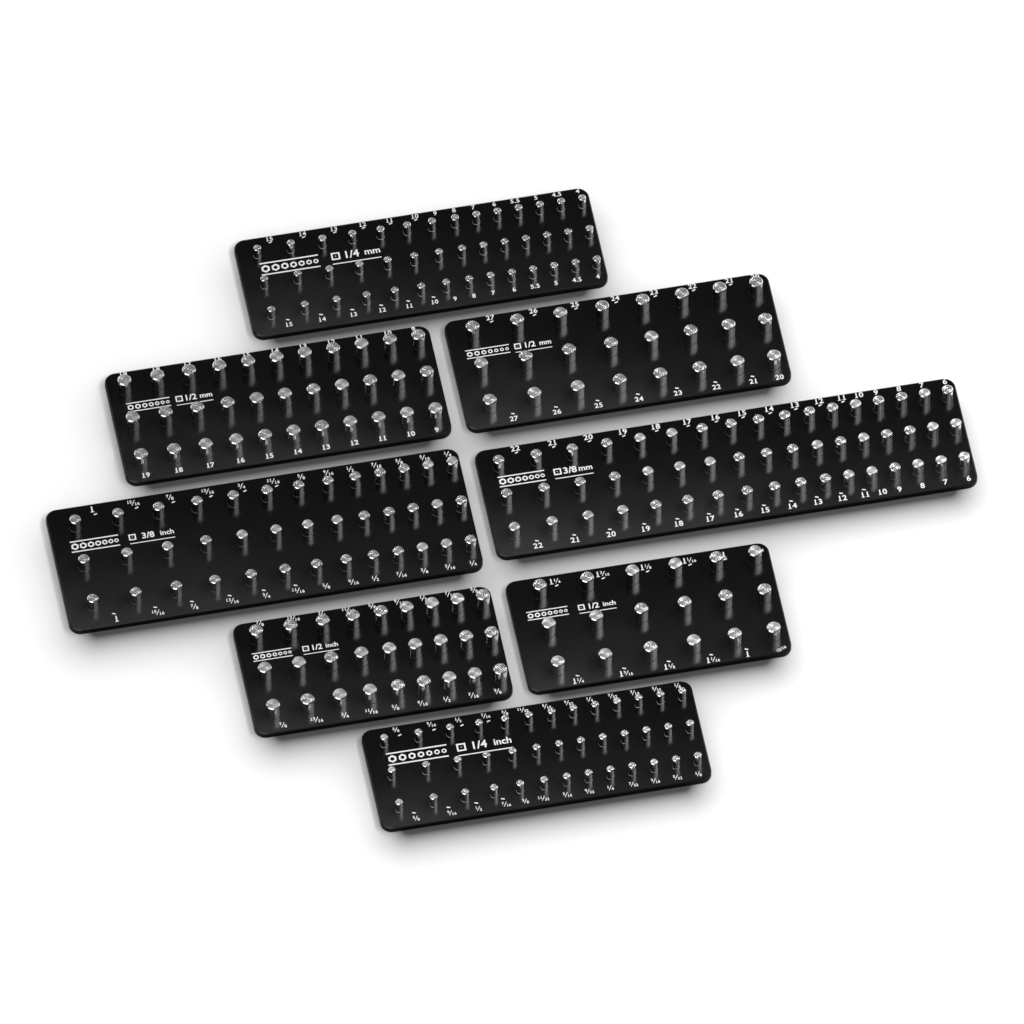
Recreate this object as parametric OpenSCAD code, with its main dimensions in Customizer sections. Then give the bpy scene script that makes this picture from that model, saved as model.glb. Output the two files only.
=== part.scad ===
// Socket organizer: a set of eight flat trays for a tool drawer.
// Each tray is a rounded plate with three rows of turned posts. A socket drops over
// each post by its square drive hole, and the posts stand closer together as the
// sockets get smaller. Every post stands on its flared foot, with a short spigot in a
// seat in the plate, and is held by a countersunk screw from below.
// Axes: X to the right, Y to the back, Z up. The origin is on the surface that the
// trays lie on, under the middle of the whole set.

/* [Plates] */
// Thickness of every plate
plate_t = 6.35; // [5.5:0.05:10]
// Corner radius of every plate, seen from above
corner_r = 9.5; // [4:0.5:14]
// Chamfer round the upper edge of a plate
rim_chamfer = 1; // [0.2:0.1:1.6]
// Chamfer round the lower edge of a plate
foot_chamfer = 0.4; // [0.1:0.1:1]

/* [Posts] */
// Post diameter on the quarter inch drive trays
quarter_post_d = 6.3; // [5:0.05:6.35]
// Post height above the plate on the quarter inch drive trays
quarter_post_h = 11.5; // [9:0.1:20]
// Chamfer round the top of a post on the quarter inch drive trays
quarter_post_chamfer = 0.8; // [0.2:0.05:1.2]
// Post diameter on the three eighths inch drive trays
three_eighths_post_d = 9.2; // [7.5:0.05:9.45]
// Post height above the plate on the three eighths inch drive trays
three_eighths_post_h = 12.7; // [9:0.1:20]
// Chamfer round the top of a post on the three eighths inch drive trays
three_eighths_post_chamfer = 1; // [0.2:0.05:1.5]
// Post diameter on the half inch drive trays
half_post_d = 11.3; // [10:0.05:12.6]
// Post height above the plate on the half inch drive trays
half_post_h = 14.5; // [9:0.1:20]
// Chamfer round the top of a post on the half inch drive trays
half_post_chamfer = 1.25; // [0.2:0.05:2]
// Flare round the foot of a post, where it stands on the plate
post_foot_flare = 0.25; // [0.2:0.05:0.5]
// Step in from the side of a post to its spigot
spigot_step = 0.4; // [0.3:0.05:0.6]
// Chamfer round the lower end of a spigot
spigot_chamfer = 0.3; // [0.1:0.05:0.4]
// Depth of the seat that takes a spigot
seat_depth = 1.6; // [1:0.1:2]
// Clearance round and below a spigot in its seat
seat_gap = 0.12; // [0.1:0.01:0.3]
// Chamfer round the mouth of a seat
seat_chamfer = 0.3; // [0.1:0.05:0.4]

/* [Screws] */
// Screw shank diameter on the quarter inch drive trays
quarter_screw_d = 3; // [2.5:0.1:3.4]
// Screw shank diameter on the three eighths inch drive trays
three_eighths_screw_d = 4; // [3:0.1:4.4]
// Screw shank diameter on the half inch drive trays
half_screw_d = 5; // [4:0.1:5.2]
// Head diameter over shank diameter, as on a standard countersunk screw
head_ratio = 1.84; // [1.7:0.01:1.9]
// Hexagon key size over shank diameter
key_ratio = 0.64; // [0.5:0.01:0.7]
// Depth of the key socket over shank diameter
key_depth_ratio = 0.4; // [0.3:0.01:0.5]
// How far a screw head lies above the underside of its plate
head_recess = 0.15; // [0.05:0.05:0.4]
// Straight rim below the cone of a screw head
head_rim = 0.25; // [0.1:0.05:0.4]
// Clearance round a screw in its plate and in its post
screw_gap = 0.12; // [0.1:0.01:0.3]
// How far a screw reaches up into its post
screw_bite = 7; // [4:0.1:7.5]
// Free depth of the threaded hole beyond the screw
hole_spare = 1; // [0.5:0.1:1.4]

/* [Post spacing] */
// Growth of post spacing for each millimetre of socket size, quarter inch drive
quarter_growth = 1.47; // [1.3:0.01:1.6]
// Growth of post spacing for each millimetre of socket size, three eighths inch drive
three_eighths_growth = 1.2; // [1.1:0.01:1.3]
// Growth of post spacing for each millimetre of socket size, half inch drive
half_growth = 1.13; // [1.05:0.01:1.25]
// Closest post spacing on the half inch drive trays for metric sizes
half_mm_closest = 24.1; // [21:0.1:27]
// Closest post spacing on the half inch drive trays for inch sizes
half_in_closest = 21.5; // [19:0.1:25]

/* [Socket sizes] */
// Step between metric sockets, in millimetres
mm_step = 1; // [1:0.5:2]
// Finer step between the smallest metric sockets, in millimetres
mm_fine_step = 0.5; // [0.5:0.5:1]
// Step between inch sockets, in 16ths of an inch
in_step = 1; // [1:1:2]
// Finer step between the smallest inch sockets, in 32nds of an inch
in_fine_step = 1; // [1:1:2]

/* [Quarter inch drive, metric sizes] */
// Largest socket, in millimetres
quarter_mm_first = 15; // [12:1:17]
// Socket size at which the steps become finer
quarter_mm_fine_from = 6; // [5:1:7]
// Smallest socket, in millimetres
quarter_mm_last = 4; // [3:0.5:5]
// Spacing that does not depend on the socket size
quarter_mm_room = 7.2; // [6:0.1:9]
// Closest post spacing
quarter_mm_closest = 18.1; // [15:0.1:22]
// Distance between rows
quarter_mm_row_pitch = 32.1; // [27:0.1:38]
// Width of the plate, front to back
quarter_mm_width = 101.6; // [90:0.1:120]
// First post to the left edge of the plate
quarter_mm_left = 17.9; // [12:0.1:25]
// Last post to the right edge of the plate
quarter_mm_right = 7.5; // [6:0.1:15]

/* [Quarter inch drive, inch sizes] */
// Largest socket, in 32nds of an inch
quarter_in_first = 20; // [16:2:24]
// Socket size at which the steps become finer
quarter_in_fine_from = 12; // [10:2:14]
// Smallest socket, in 32nds of an inch
quarter_in_last = 4; // [3:1:6]
// Spacing that does not depend on the socket size
quarter_in_room = 6.8; // [6:0.1:9]
// Closest post spacing
quarter_in_closest = 18.4; // [15:0.1:22]
// Distance between rows
quarter_in_row_pitch = 33.4; // [28:0.1:38]
// Width of the plate, front to back
quarter_in_width = 101.6; // [90:0.1:120]
// First post to the left edge of the plate
quarter_in_left = 17.4; // [12:0.1:25]
// Last post to the right edge of the plate
quarter_in_right = 9.9; // [6:0.1:15]

/* [Three eighths inch drive, metric sizes] */
// Largest socket, in millimetres
three_eighths_mm_first = 22; // [19:1:24]
// Smallest socket, in millimetres
three_eighths_mm_last = 6; // [5:1:9]
// Spacing that does not depend on the socket size
three_eighths_mm_room = 6; // [5:0.1:9]
// Closest post spacing
three_eighths_mm_closest = 19.6; // [17:0.1:23]
// Distance between rows
three_eighths_mm_row_pitch = 34.9; // [30:0.1:42]
// Width of the plate, front to back
three_eighths_mm_width = 111.1; // [98:0.1:130]
// First post to the left edge of the plate
three_eighths_mm_left = 17.8; // [12:0.1:25]
// Last post to the right edge of the plate
three_eighths_mm_right = 9; // [7:0.1:16]

/* [Three eighths inch drive, inch sizes] */
// Largest socket, in 16ths of an inch
three_eighths_in_first = 16; // [14:1:18]
// Smallest socket, in 16ths of an inch
three_eighths_in_last = 4; // [4:1:7]
// Spacing that does not depend on the socket size
three_eighths_in_room = 6.8; // [5:0.1:9]
// Closest post spacing
three_eighths_in_closest = 20.4; // [17:0.1:23]
// Distance between rows
three_eighths_in_row_pitch = 41; // [35:0.1:47]
// Width of the plate, front to back
three_eighths_in_width = 125.4; // [108:0.1:140]
// First post to the left edge of the plate
three_eighths_in_left = 22.5; // [14:0.1:28]
// Last post to the right edge of the plate
three_eighths_in_right = 7.9; // [7:0.1:16]

/* [Half inch drive, smaller metric sizes] */
// Largest socket, in millimetres
half_mm_small_first = 19; // [17:1:20]
// Smallest socket, in millimetres
half_mm_small_last = 9; // [8:1:12]
// Spacing that does not depend on the socket size
half_mm_small_room = 7.1; // [5:0.1:9]
// Distance between rows
half_mm_small_row_pitch = 38.5; // [32:0.1:44]
// Width of the plate, front to back
half_mm_small_width = 114.3; // [102:0.1:130]
// First post to the left edge of the plate
half_mm_small_left = 15; // [12:0.1:25]
// Last post to the right edge of the plate
half_mm_small_right = 11.7; // [9:0.1:16]

/* [Half inch drive, larger metric sizes] */
// Largest socket, in millimetres
half_mm_large_first = 27; // [24:1:30]
// Smallest socket, in millimetres
half_mm_large_last = 20; // [18:1:22]
// Spacing that does not depend on the socket size
half_mm_large_room = 8; // [5:0.1:9]
// Distance between rows
half_mm_large_row_pitch = 38.5; // [32:0.1:44]
// Width of the plate, front to back
half_mm_large_width = 114.3; // [102:0.1:130]
// First post to the left edge of the plate
half_mm_large_left = 21.9; // [14:0.1:28]
// Last post to the right edge of the plate
half_mm_large_right = 12.7; // [9:0.1:18]

/* [Half inch drive, smaller inch sizes] */
// Largest socket, in 16ths of an inch
half_in_small_first = 14; // [12:1:15]
// Smallest socket, in 16ths of an inch
half_in_small_last = 6; // [5:1:8]
// Spacing that does not depend on the socket size
half_in_small_room = 4.8; // [3:0.1:8]
// Distance between rows
half_in_small_row_pitch = 38.4; // [32:0.1:44]
// Width of the plate, front to back
half_in_small_width = 114.3; // [102:0.1:130]
// First post to the left edge of the plate
half_in_small_left = 17.7; // [12:0.1:25]
// Last post to the right edge of the plate
half_in_small_right = 8.6; // [8:0.1:16]

/* [Half inch drive, larger inch sizes] */
// Largest socket, in 16ths of an inch
half_in_large_first = 20; // [18:1:22]
// Smallest socket, in 16ths of an inch
half_in_large_last = 15; // [13:1:17]
// Spacing that does not depend on the socket size
half_in_large_room = 5.1; // [3:0.1:8]
// Distance between rows
half_in_large_row_pitch = 39.6; // [33:0.1:44]
// Width of the plate, front to back
half_in_large_width = 114.3; // [102:0.1:130]
// First post to the left edge of the plate
half_in_large_left = 27.1; // [18:0.1:33]
// Last post to the right edge of the plate
half_in_large_right = 13.3; // [9:0.1:18]

/* [Layout of the set] */
// Gap between the left and the right column of trays
column_gap = 12.7; // [6:0.1:30]
// Gap behind the second band of trays, counted from the back
second_band_gap = 13.6; // [6:0.1:30]
// Gap behind the third band of trays
third_band_gap = 14.4; // [6:0.1:30]
// Gap behind the fourth band of trays
fourth_band_gap = 18.1; // [6:0.1:30]
// Gap behind the front tray
front_band_gap = 11.7; // [6:0.1:30]

/* [Hidden] */
$fn = 48;
INCH = 25.4;
IN_16TH = INCH / 16;
IN_32ND = INCH / 32;
ROWS = ["rear", "middle", "front"];
CUT = 1; // how far a cutter runs out of what it cuts
BLACK = [0.06, 0.06, 0.065];
ALUMINIUM = [0.8, 0.8, 0.82];
ZINC = [0.62, 0.63, 0.66];

// Drive families: growth of the post spacing, screw diameter, and the post's diameter,
// height and chamfer
QUARTER = [quarter_growth, quarter_screw_d, quarter_post_d, quarter_post_h, quarter_post_chamfer];
THREE_EIGHTHS = [three_eighths_growth, three_eighths_screw_d, three_eighths_post_d,
    three_eighths_post_h, three_eighths_post_chamfer];
HALF = [half_growth, half_screw_d, half_post_d, half_post_h, half_post_chamfer];

// Socket sizes from the largest to the smallest, with finer steps below one size
function steps(first, last, step) = [for (i = [0 : round((first - last) / step)]) first - i * step];
function fine_steps(first, fine_from, last, step, fine) =
    concat(steps(first, fine_from + step, step), steps(fine_from, last, fine));

QUARTER_MM_SIZES = fine_steps(quarter_mm_first, quarter_mm_fine_from, quarter_mm_last,
    mm_step, mm_fine_step);
QUARTER_IN_SIZES = IN_32ND * fine_steps(quarter_in_first, quarter_in_fine_from, quarter_in_last,
    in_step * IN_16TH / IN_32ND, in_fine_step);
THREE_EIGHTHS_MM_SIZES = steps(three_eighths_mm_first, three_eighths_mm_last, mm_step);
THREE_EIGHTHS_IN_SIZES = IN_16TH * steps(three_eighths_in_first, three_eighths_in_last, in_step);
HALF_MM_SMALL_SIZES = steps(half_mm_small_first, half_mm_small_last, mm_step);
HALF_MM_LARGE_SIZES = steps(half_mm_large_first, half_mm_large_last, mm_step);
HALF_IN_SMALL_SIZES = IN_16TH * steps(half_in_small_first, half_in_small_last, in_step);
HALF_IN_LARGE_SIZES = IN_16TH * steps(half_in_large_first, half_in_large_last, in_step);

// One post to the next: the sockets' mean size, grown to their outside, plus finger room
function spacing(sizes, growth, room, closest) =
    [for (i = [0 : len(sizes) - 2]) max(closest, growth * (sizes[i] + sizes[i + 1]) / 2 + room)];
// Sum of the first n entries of a list
function sum(list, n) = n == 0 ? 0 : list[n - 1] + sum(list, n - 1);

// A tray: name, drive family, post places along its length, row pitch, length, width
function tray(name, drive, sizes, room, closest, row_pitch, width, left, right) =
    let (gaps = spacing(sizes, drive[0], room, closest))
    [name, drive, [for (i = [0 : len(gaps)]) left + sum(gaps, i)], row_pitch,
     left + sum(gaps, len(gaps)) + right, width];
function name_of(tray) = tray[0];
function screw_d(tray) = tray[1][1];
function post_d(tray) = tray[1][2];
function post_h(tray) = tray[1][3];
function post_chamfer(tray) = tray[1][4];
function columns(tray) = tray[2];
function row_pitch(tray) = tray[3];
function length_of(tray) = tray[4];
function width_of(tray) = tray[5];

QUARTER_MM = tray("quarter_mm", QUARTER, QUARTER_MM_SIZES, quarter_mm_room, quarter_mm_closest,
    quarter_mm_row_pitch, quarter_mm_width, quarter_mm_left, quarter_mm_right);
QUARTER_IN = tray("quarter_in", QUARTER, QUARTER_IN_SIZES, quarter_in_room, quarter_in_closest,
    quarter_in_row_pitch, quarter_in_width, quarter_in_left, quarter_in_right);
THREE_EIGHTHS_MM = tray("three_eighths_mm", THREE_EIGHTHS, THREE_EIGHTHS_MM_SIZES,
    three_eighths_mm_room, three_eighths_mm_closest, three_eighths_mm_row_pitch,
    three_eighths_mm_width, three_eighths_mm_left, three_eighths_mm_right);
THREE_EIGHTHS_IN = tray("three_eighths_in", THREE_EIGHTHS, THREE_EIGHTHS_IN_SIZES,
    three_eighths_in_room, three_eighths_in_closest, three_eighths_in_row_pitch,
    three_eighths_in_width, three_eighths_in_left, three_eighths_in_right);
HALF_MM_SMALL = tray("half_mm_small", HALF, HALF_MM_SMALL_SIZES, half_mm_small_room,
    half_mm_closest, half_mm_small_row_pitch, half_mm_small_width, half_mm_small_left,
    half_mm_small_right);
HALF_MM_LARGE = tray("half_mm_large", HALF, HALF_MM_LARGE_SIZES, half_mm_large_room,
    half_mm_closest, half_mm_large_row_pitch, half_mm_large_width, half_mm_large_left,
    half_mm_large_right);
HALF_IN_SMALL = tray("half_in_small", HALF, HALF_IN_SMALL_SIZES, half_in_small_room,
    half_in_closest, half_in_small_row_pitch, half_in_small_width, half_in_small_left,
    half_in_small_right);
HALF_IN_LARGE = tray("half_in_large", HALF, HALF_IN_LARGE_SIZES, half_in_large_room,
    half_in_closest, half_in_large_row_pitch, half_in_large_width, half_in_large_left,
    half_in_large_right);

// The set lies in five bands, from the back to the front. Two trays side by side meet at
// the column gap, and a tray that lies alone is centred on it.
BANDS = [
    [QUARTER_MM],
    [HALF_MM_SMALL, HALF_MM_LARGE],
    [THREE_EIGHTHS_IN, THREE_EIGHTHS_MM],
    [HALF_IN_SMALL, HALF_IN_LARGE],
    [QUARTER_IN]
];
BAND_GAPS = [0, second_band_gap, third_band_gap, fourth_band_gap, front_band_gap];
TRAYS = [for (band = BANDS) for (one = band) one];

band_depths = [for (band = BANDS) max([for (one = band) width_of(one)])];
set_depth = sum(band_depths, len(BANDS)) + sum(BAND_GAPS, len(BANDS));
// How far a band reaches to each side of the middle of the column gap
function left_reach(band) = len(band) == 1 ? length_of(band[0]) / 2 : column_gap / 2 + length_of(band[0]);
function right_reach(band) = len(band) == 1 ? length_of(band[0]) / 2 : column_gap / 2 + length_of(band[1]);
gap_x = (max([for (band = BANDS) left_reach(band)]) - max([for (band = BANDS) right_reach(band)])) / 2;

// Left edge of a tray, and the middle of a band front to back
function tray_x(band, side) = side == 1 ? gap_x + column_gap / 2 : gap_x - left_reach(band);
function band_y(i) = set_depth / 2 - sum(band_depths, i) - sum(BAND_GAPS, i + 1) - band_depths[i] / 2;

// Heights, and sizes that follow from the screw diameter
seat_z = plate_t - seat_depth;
function head_d(tray) = head_ratio * screw_d(tray);
function cone_top(r_head, r_shank, z_head) = z_head + head_rim + r_head - r_shank;

// Outline of a plate cut across: flat sides, with a chamfer above and below
function plate_section(reach) = [
    [-reach + foot_chamfer, 0], [reach - foot_chamfer, 0], [reach, foot_chamfer],
    [reach, plate_t - rim_chamfer], [reach - rim_chamfer, plate_t],
    [-reach + rim_chamfer, plate_t], [-reach, plate_t - rim_chamfer], [-reach, foot_chamfer]
];

// A plate without holes, its left edge at x = 0 and its middle at y = 0
module blank(length, width) {
    for (x = [corner_r, length - corner_r]) for (y = [-1, 1] * (width / 2 - corner_r))
        translate([x, y, 0]) rotate_extrude() intersection() {
            polygon(plate_section(corner_r));
            square([corner_r, plate_t]);
        }
    translate([corner_r, 0, 0]) rotate([90, 0, 90])
        linear_extrude(length - 2 * corner_r) polygon(plate_section(width / 2));
    translate([length / 2, 0, 0]) rotate([90, 0, 0])
        linear_extrude(width - 2 * corner_r, center = true) polygon(plate_section(length / 2));
}

// One hole for a post and its screw: countersink, screw hole, seat, chamfered mouth
module post_hole(tray) {
    r_head = head_d(tray) / 2 + screw_gap;
    r_shank = screw_d(tray) / 2 + screw_gap;
    r_seat = post_d(tray) / 2 - spigot_step + seat_gap;
    rotate_extrude() polygon([
        [0, -CUT], [r_head, -CUT], [r_head, head_recess + head_rim],
        [r_shank, cone_top(r_head, r_shank, head_recess)], [r_shank, seat_z], [r_seat, seat_z],
        [r_seat, plate_t - seat_chamfer], [r_seat + seat_chamfer + CUT, plate_t + CUT],
        [0, plate_t + CUT]
    ]);
}

// A turned post, its flared foot on z = 0, with the threaded hole for its screw
module post(tray) {
    r = post_d(tray) / 2;
    r_spigot = r - spigot_step;
    r_hole = screw_d(tray) / 2 + screw_gap;
    bottom = seat_gap - seat_depth;
    top = post_h(tray);
    hole_top = screw_bite + hole_spare - seat_depth;
    rotate_extrude() polygon([
        [r_hole, bottom], [r_spigot - spigot_chamfer, bottom], [r_spigot, bottom + spigot_chamfer],
        [r_spigot, 0], [r + post_foot_flare, 0], [r, post_foot_flare],
        [r, top - post_chamfer(tray)], [r - post_chamfer(tray), top], [0, top],
        [0, hole_top + r_hole / 2], [r_hole, hole_top]
    ]);
}

// A countersunk screw with a hexagon key socket, its head just above z = 0
module screw(tray) {
    r_head = head_d(tray) / 2;
    r_shank = screw_d(tray) / 2;
    key_r = key_ratio * screw_d(tray) / 2 / cos(30);
    difference() {
        rotate_extrude() polygon([
            [0, head_recess], [r_head, head_recess], [r_head, head_recess + head_rim],
            [r_shank, cone_top(r_head, r_shank, head_recess)],
            [r_shank, seat_z + screw_bite - r_shank / 4], [r_shank * 3 / 4, seat_z + screw_bite],
            [0, seat_z + screw_bite]
        ]);
        cylinder(r = key_r, h = head_recess + key_depth_ratio * screw_d(tray), $fn = 6);
    }
}

// Places its children at every post of one row, in the tray's own frame
module along_row(tray, row) {
    for (x = columns(tray)) translate([x, (1 - row) * row_pitch(tray), 0]) children();
}

module plate(tray) {
    color(BLACK) difference() {
        blank(length_of(tray), width_of(tray));
        for (row = [0 : len(ROWS) - 1]) along_row(tray, row) post_hole(tray);
    }
}

module post_row(tray, row) {
    color(ALUMINIUM) along_row(tray, row) translate([0, 0, plate_t]) post(tray);
}

module screw_row(tray, row) {
    color(ZINC) along_row(tray, row) screw(tray);
}

for (i = [0 : len(BANDS) - 1]) for (side = [0 : len(BANDS[i]) - 1]) {
    one = BANDS[i][side];
    translate([tray_x(BANDS[i], side), band_y(i), 0]) {
        plate(one);
        for (row = [0 : len(ROWS) - 1]) {
            label = str(name_of(one), "_", ROWS[row]);
            post_row(one, row);
            screw_row(one, row);
        }
    }
}
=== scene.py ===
# %% [markdown]
# # Eight socket trays for a tool drawer
# The real set is eight flat black plates with three rows of bright turned posts each. A socket
# drops over each post by its square drive hole, and white numbers beside the posts give its size.
# The CAD model holds the true sizes of all of it. This lesson dresses that model: it rebuilds the
# plates and posts with finer edges, prints the numbers, and makes the finishes, light and camera.

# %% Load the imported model
import math
import random
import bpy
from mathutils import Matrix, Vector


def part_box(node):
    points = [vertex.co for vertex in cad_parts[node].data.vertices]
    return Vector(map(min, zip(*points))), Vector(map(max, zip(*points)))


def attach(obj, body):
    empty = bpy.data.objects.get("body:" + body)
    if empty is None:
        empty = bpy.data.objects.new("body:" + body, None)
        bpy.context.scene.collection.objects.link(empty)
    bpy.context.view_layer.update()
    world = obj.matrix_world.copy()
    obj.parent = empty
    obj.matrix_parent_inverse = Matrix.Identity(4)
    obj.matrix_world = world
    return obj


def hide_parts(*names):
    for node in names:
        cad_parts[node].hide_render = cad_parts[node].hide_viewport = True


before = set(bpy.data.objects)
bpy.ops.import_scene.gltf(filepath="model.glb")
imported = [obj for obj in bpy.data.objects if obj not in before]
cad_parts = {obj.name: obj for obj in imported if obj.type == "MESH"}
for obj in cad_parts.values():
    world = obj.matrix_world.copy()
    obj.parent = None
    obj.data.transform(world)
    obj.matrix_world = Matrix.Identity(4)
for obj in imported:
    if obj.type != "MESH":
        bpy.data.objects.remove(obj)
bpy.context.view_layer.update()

from fractions import Fraction

import bmesh
import bpy
import numpy as np
from mathutils import Matrix, Vector

MM = 0.001
random.seed(7)

# %% [markdown]
# ## What the set holds
# Each tray is for one drive size and one row of sockets. The sizes run down from left to right, in
# steps, so a short list comprehension gives them. Inch sizes are fractions, and Python's Fraction
# keeps them exact, which is what a printed label needs.


# %% The sockets of each tray
def down(first, last, step):
    """Socket sizes from the largest to the smallest."""
    first, last, step = Fraction(first), Fraction(last), Fraction(step)
    return [first - i * step for i in range(int((first - last) / step) + 1)]


SIXTEENTH = Fraction(1, 16)
DRIVES = {"quarter": "1/4", "three_eighths": "3/8", "half": "1/2"}
SIZES = {
    "quarter_mm": down(15, 7, 1) + down(6, 4, Fraction(1, 2)),
    "half_mm_small": down(19, 9, 1),
    "half_mm_large": down(27, 20, 1),
    "three_eighths_in": down(1, Fraction(1, 4), SIXTEENTH),
    "three_eighths_mm": down(22, 6, 1),
    "half_in_small": down(Fraction(7, 8), Fraction(3, 8), SIXTEENTH),
    "half_in_large": down(Fraction(5, 4), Fraction(15, 16), SIXTEENTH),
    "quarter_in": down(Fraction(5, 8), Fraction(7, 16), SIXTEENTH)
    + down(Fraction(3, 8), Fraction(1, 8), SIXTEENTH / 2),
}
ROWS = ("rear", "middle", "front")
print("trays and columns:", {tray: len(sizes) for tray, sizes in SIZES.items()})

# %% [markdown]
# ## Where the posts stand
# A row of posts is one CAD node, so its vertices come in clumps along X, one clump for each post.
# Sorting them and cutting the list at every wide step finds the clumps, and the middle of each is
# the axis of a post. Reading the places from the model keeps this script true to it.

# %% Find the posts
CLUMP_GAP = 3 * MM
PLATE_BOX = {tray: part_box(f"{tray}_plate") for tray in SIZES}


def drive_of(tray):
    return tray.rsplit("_mm", 1)[0].rsplit("_in", 1)[0]


def unit_of(tray):
    return "inch" if "_in" in tray else "mm"


def find_posts(tray, row):
    """The foot of each post of a row, from left to right."""
    node = f"{tray}_{row}_posts"
    low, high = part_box(node)
    foot = PLATE_BOX[tray][1].z
    xs = np.array(sorted(v.co.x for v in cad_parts[node].data.vertices))
    clumps = np.split(xs, np.flatnonzero(np.diff(xs) > CLUMP_GAP) + 1)
    return [Vector(((c[0] + c[-1]) / 2, (low.y + high.y) / 2, foot)) for c in clumps]


POSTS = {(tray, row): find_posts(tray, row) for tray in SIZES for row in ROWS}
for (tray, row), feet in POSTS.items():
    assert len(feet) == len(SIZES[tray]), f"{tray} {row} has {len(feet)} posts"
print("posts:", sum(len(feet) for feet in POSTS.values()))

# %% [markdown]
# ## Shader maths as formulas
# A finish is a web of small nodes, and a formula says the same in one line. This class wraps the
# output of a node. Each operator adds one Math node, and `node` adds a node of any other kind: it
# takes the settings first, because some of them change which sockets the node has.


# %% A wire that can be used in a formula
class Wire:
    """The output of a shader node. A Wire without a socket is the empty bench of a new tree."""

    def __init__(self, tree, socket=None):
        self.tree, self.socket = tree, socket

    def node(self, kind, settings=None, sockets=None, output=0):
        made = self.tree.nodes.new("ShaderNode" + kind)
        for name, value in (settings or {}).items():
            setattr(made, name, value)
        for name, value in (sockets or {}).items():
            if isinstance(value, Wire):
                self.tree.links.new(value.socket, made.inputs[name])
            else:
                made.inputs[name].default_value = value
        return Wire(self.tree, made.outputs[output] if made.outputs else None)

    def math(self, operation, *terms):
        return self.node("Math", {"operation": operation}, dict(enumerate(terms)))

    def vector(self, operation, *terms, output=0):
        return self.node("VectorMath", {"operation": operation}, dict(enumerate(terms)), output)

    def __add__(self, other):
        return self.math("ADD", self, other)

    def __sub__(self, other):
        return self.math("SUBTRACT", self, other)

    def __rsub__(self, other):
        return self.math("SUBTRACT", other, self)

    def __mul__(self, other):
        return self.math("MULTIPLY", self, other)

    def __truediv__(self, other):
        return self.math("DIVIDE", self, other)

    def __pow__(self, other):
        return self.math("POWER", self, other)

    __radd__ = __add__
    __rmul__ = __mul__


def new_finish(name):
    """A new material and the bench on which its nodes are made."""
    material = bpy.data.materials.new(name)
    material.use_nodes = True
    material.node_tree.nodes.clear()
    return material, Wire(material.node_tree)


def grain(bench, where, scale, detail=2.0):
    """Cloudy noise from 0 to 1, with `scale` clouds to the metre."""
    sockets = {"Vector": where, "Scale": scale, "Detail": detail}
    return bench.node("TexNoise", {}, sockets)


def blend(bench, mask, low, high):
    """One colour where the mask is 0, another where it is 1. A colour may be a Wire too."""
    low, high = (c if isinstance(c, Wire) else (*c, 1) for c in (low, high))
    sockets = {0: mask, 6: low, 7: high}
    return bench.node("Mix", {"data_type": "RGBA"}, sockets, output=2)


print("shader formulas ready")

# %% [markdown]
# ## Pieces
# Every new piece goes the same way: its bmesh becomes a mesh, edges that turn sharply stay crisp,
# and the piece rides on its tray and stands in for the CAD nodes that it refines.


# %% Turn a bmesh into a finished piece
def finish_piece(bm, name, finish, tray, stands_for=(), crisp=30):
    mesh = bpy.data.meshes.new(name)
    bm.to_mesh(mesh)
    bm.free()
    mesh.polygons.foreach_set("use_smooth", [True] * len(mesh.polygons))
    mesh.set_sharp_from_angle(angle=math.radians(crisp))
    mesh.materials.append(finish)
    piece = bpy.data.objects.new(name, mesh)
    bpy.context.scene.collection.objects.link(piece)
    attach(piece, f"{tray}_tray")
    if stands_for:
        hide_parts(*stands_for)
    return piece


def lathe(profile, steps):
    """Turns a line of (radius, height) points, in mm, round the upright axis."""
    bm = bmesh.new()
    line = [bm.verts.new((r * MM, 0, z * MM)) for r, z in profile]
    edges = [bm.edges.new(pair) for pair in zip(line, line[1:])]
    bmesh.ops.spin(bm, geom=line + edges, cent=(0, 0, 0), axis=(0, 0, 1), angle=math.tau,
                   steps=steps, use_merge=True)
    bmesh.ops.remove_doubles(bm, verts=bm.verts, dist=0.001 * MM)
    bmesh.ops.recalc_face_normals(bm, faces=bm.faces)
    return bm


def repeated(bm, places):
    """One bmesh that holds a copy of bm at each place."""
    one = bpy.data.meshes.new("one")
    bm.to_mesh(one)
    bm.free()
    row = bmesh.new()
    for place in places:
        old = len(row.verts)
        row.from_mesh(one)
        row.verts.ensure_lookup_table()
        bmesh.ops.translate(row, vec=place, verts=row.verts[old:])
    bpy.data.meshes.remove(one)
    return row


print("piece helpers ready")
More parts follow.
